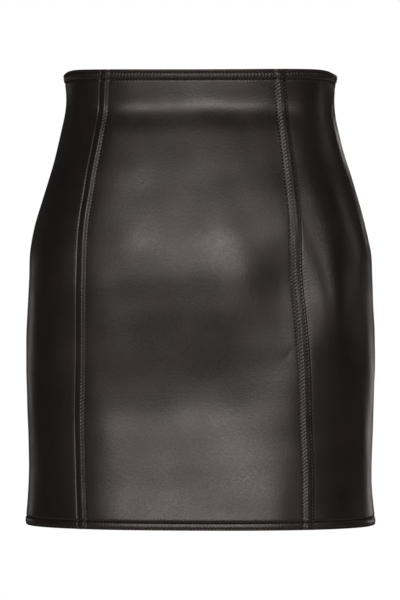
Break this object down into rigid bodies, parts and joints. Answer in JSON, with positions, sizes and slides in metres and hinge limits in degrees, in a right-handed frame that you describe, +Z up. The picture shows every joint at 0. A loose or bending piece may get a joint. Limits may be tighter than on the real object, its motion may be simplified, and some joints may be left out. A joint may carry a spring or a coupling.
{
  "type": "leather mini skirt",
  "caption": "Fitted high-waisted leather mini skirt, open at waist and hem, with a lapped and topstitched centre front panel, side fronts, back panels and a centre back zip.",
  "frame": {"origin": "middle of the waist opening, level with the waist edge at the centre front, where the waist holds the skirt up", "axes": "+Z up the skirt from hem to waist, the front faces -Y, +X is the wearer's left"},
  "size_m": [0.3392, 0.2482, 0.4395],
  "materials": {
    "leather": "semi-gloss nappa, fine grain",
    "thread": "waxed topstitching thread",
    "zip_tape": "woven tape",
    "zip_metal": "dark gunmetal plating"
  },
  "bodies": {
    "skirt": {"front_panel": "leather", "side_front_left": "leather", "side_front_right": "leather", "back_panel_left": "leather", "back_panel_right": "leather", "zip_tape": "zip_tape", "zip_teeth": "zip_metal", "zip_slider": "zip_metal"},
    "zip_pull": {"zip_pull": "zip_metal"}
  },
  "joints": [
    {"name": "pull_swing", "type": "hinge", "parent": "skirt", "child": "zip_pull", "pos_m": [0, 0.09158, -0.01173], "axis": [1, 0, 0], "range_deg": [0, 170]}
  ]
}
